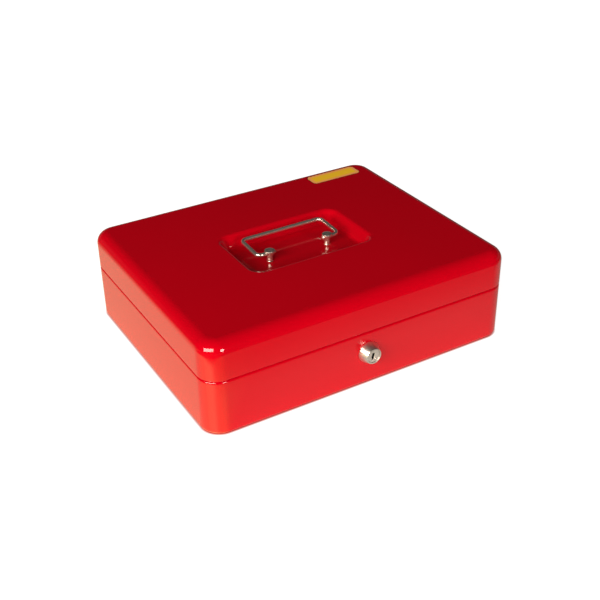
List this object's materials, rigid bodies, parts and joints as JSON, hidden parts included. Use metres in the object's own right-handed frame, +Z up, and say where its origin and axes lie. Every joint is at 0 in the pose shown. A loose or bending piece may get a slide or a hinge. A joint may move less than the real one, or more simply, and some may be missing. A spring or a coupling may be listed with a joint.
{
  "type": "cash box",
  "caption": "Lockable steel cash box with rounded corners, a hinged lid with a wire handle folded in a sunk pan, a front cam lock and a lift-out coin tray.",
  "frame": {"origin": "middle of the flat underside of the base", "axes": "+X to the right along the long side, -Y to the front with the lock, +Z up"},
  "size_m": [0.3, 0.2543, 0.0862],
  "materials": {
    "red_coat": "gloss red powder coat on steel sheet",
    "chrome": "bright plated steel wire and turned posts",
    "nickel": "satin nickel plated die casting",
    "nickel_plug": "nickel plated turned plug",
    "zinc": "zinc plated steel",
    "brass": "stamped brass",
    "black_plastic": "fine-grained black moulding"
  },
  "bodies": {
    "base": {"base_shell": "red_coat", "lock_body": "nickel", "lock_washer": "zinc", "lock_nut": "zinc", "tray_ledge_left": "red_coat", "tray_ledge_right": "red_coat", "hinge_leaf_base_left": "red_coat", "hinge_leaf_base_right": "red_coat", "hinge_pin_left": "zinc", "hinge_pin_right": "zinc"},
    "lid": {"lid_shell": "red_coat", "lid_strike": "zinc", "hinge_leaf_lid_left": "red_coat", "hinge_leaf_lid_right": "red_coat", "handle_post_left": "chrome", "handle_post_right": "chrome", "post_washer_left": "zinc", "post_washer_right": "zinc"},
    "handle": {"handle_bail": "chrome"},
    "lock_core": {"lock_plug": "nickel_plug", "lock_wafers": "brass", "lock_cam": "zinc", "cam_screw": "zinc"},
    "tray": {"coin_tray": "black_plastic"}
  },
  "joints": [
    {"name": "lid_hinge", "type": "hinge", "parent": "base", "child": "lid", "pos_m": [0, 0.1228, 0.0514], "axis": [-1, 0, 0], "range_deg": [0, 100]},
    {"name": "handle_swing", "type": "hinge", "parent": "lid", "child": "handle", "pos_m": [0, -0.0064, 0.0827], "axis": [1, 0, 0], "range_deg": [-13, 160]},
    {"name": "lock_turn", "type": "hinge", "parent": "base", "child": "lock_core", "pos_m": [0, -0.12, 0.0315], "axis": [0, 1, 0], "range_deg": [0, 90]},
    {"name": "tray_lift", "type": "slide", "parent": "base", "child": "tray", "axis": [0, 0, 1], "range_m": [0, 0.012]}
  ]
}
